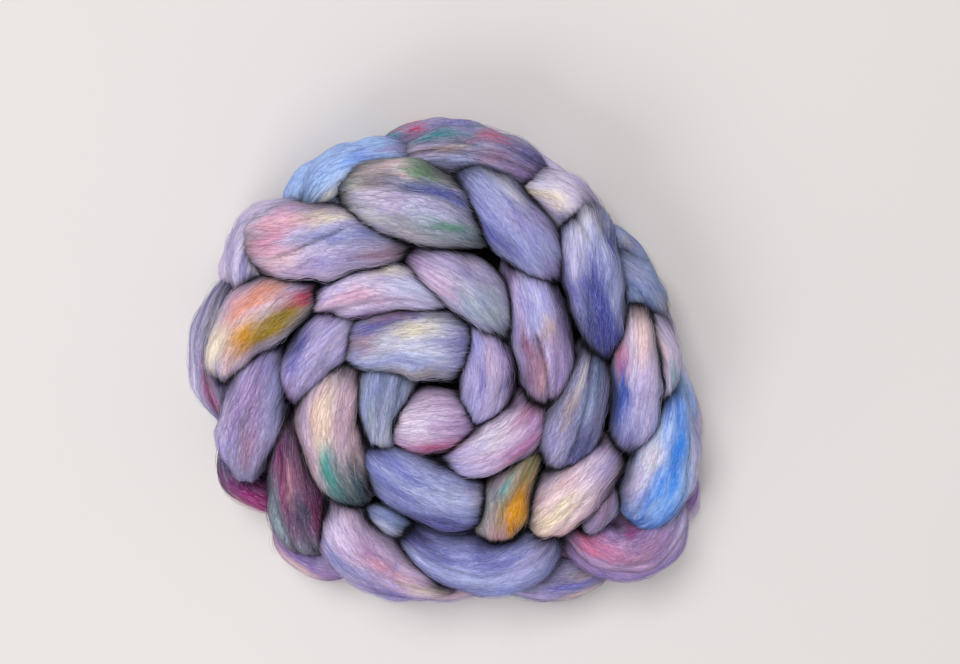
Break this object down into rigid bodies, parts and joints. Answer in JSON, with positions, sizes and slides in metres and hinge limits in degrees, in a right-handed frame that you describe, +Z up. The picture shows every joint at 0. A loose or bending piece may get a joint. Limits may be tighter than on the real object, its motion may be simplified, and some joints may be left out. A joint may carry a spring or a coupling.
{
  "type": "wool roving",
  "caption": "Thick length of dyed combed wool top, worked into a chain braid and wound into a flat round coil with its plump loops facing up.",
  "frame": {"origin": "middle of the coil's outline, on the surface it rests on", "axes": "+Z up out of the coil's face, +Y towards the side that is uppermost in the picture, +X to its right"},
  "size_m": [0.2411, 0.239, 0.0629],
  "materials": {
    "dyed_wool": "soft matte combed wool with a faint sheen, dyed lilac and periwinkle with patches of blue, teal, rose, ochre and cream"
  },
  "bodies": {
    "root": {"roving_coil": "dyed_wool"}
  },
  "joints": []
}
